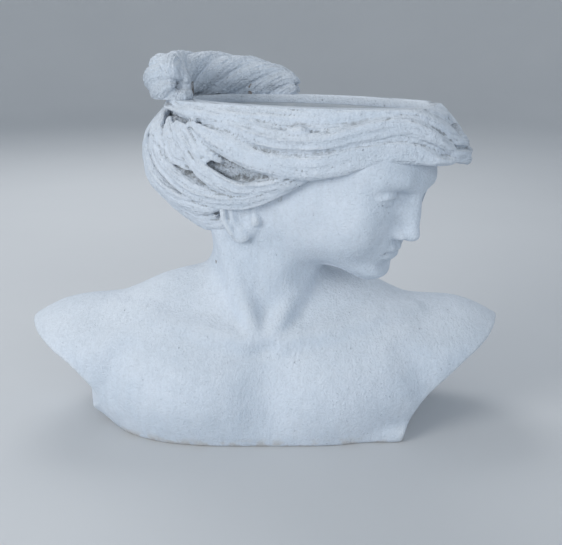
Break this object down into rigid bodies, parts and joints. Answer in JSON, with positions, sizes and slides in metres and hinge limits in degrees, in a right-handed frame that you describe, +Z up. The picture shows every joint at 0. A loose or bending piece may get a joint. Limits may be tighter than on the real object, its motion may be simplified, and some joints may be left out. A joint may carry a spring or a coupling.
{
  "type": "bust planter",
  "caption": "Life-size classical garden bust in painted cast stone, its head open at the top as a planting pocket with a lift-out liner.",
  "frame": {"origin": "on the ground, under the middle of the overall box", "axes": "+X to the right of someone facing the chest, +Y towards the back, +Z up; the chest faces -Y and the head is turned towards +X"},
  "size_m": [0.606, 0.2416, 0.4601],
  "materials": {
    "painted_stone": "matte white masonry paint on cast stone",
    "mortar": "rough cement mortar",
    "dowel_steel": "ribbed bar",
    "liner_plastic": "matte pale grey moulded plastic",
    "drain_plastic": "grey moulded plastic",
    "seal_rubber": "soft black rubber",
    "plate_plastic": "grey sheet with a fine grain",
    "screw_steel": "plain stainless"
  },
  "bodies": {
    "bust": {"shoulder_casting": "painted_stone", "head_casting": "painted_stone", "hair_bun": "painted_stone", "neck_mortar": "mortar", "bun_mortar": "mortar", "neck_dowels": "dowel_steel", "bun_dowels": "dowel_steel", "drain_tail": "drain_plastic", "drain_washer": "seal_rubber", "drain_backnut": "drain_plastic", "base_plate": "plate_plastic", "base_grommet": "seal_rubber", "base_screws": "screw_steel", "screw_anchors": "drain_plastic"},
    "liner": {"planting_liner": "liner_plastic"},
    "plug": {"liner_plug": "seal_rubber"}
  },
  "joints": [
    {"name": "liner_lift", "type": "slide", "parent": "bust", "child": "liner", "axis": [0, 0, 1], "range_m": [0, 0.13]},
    {"name": "plug_lift", "type": "slide", "parent": "liner", "child": "plug", "axis": [0, 0, 1], "range_m": [0, 0.04]}
  ]
}
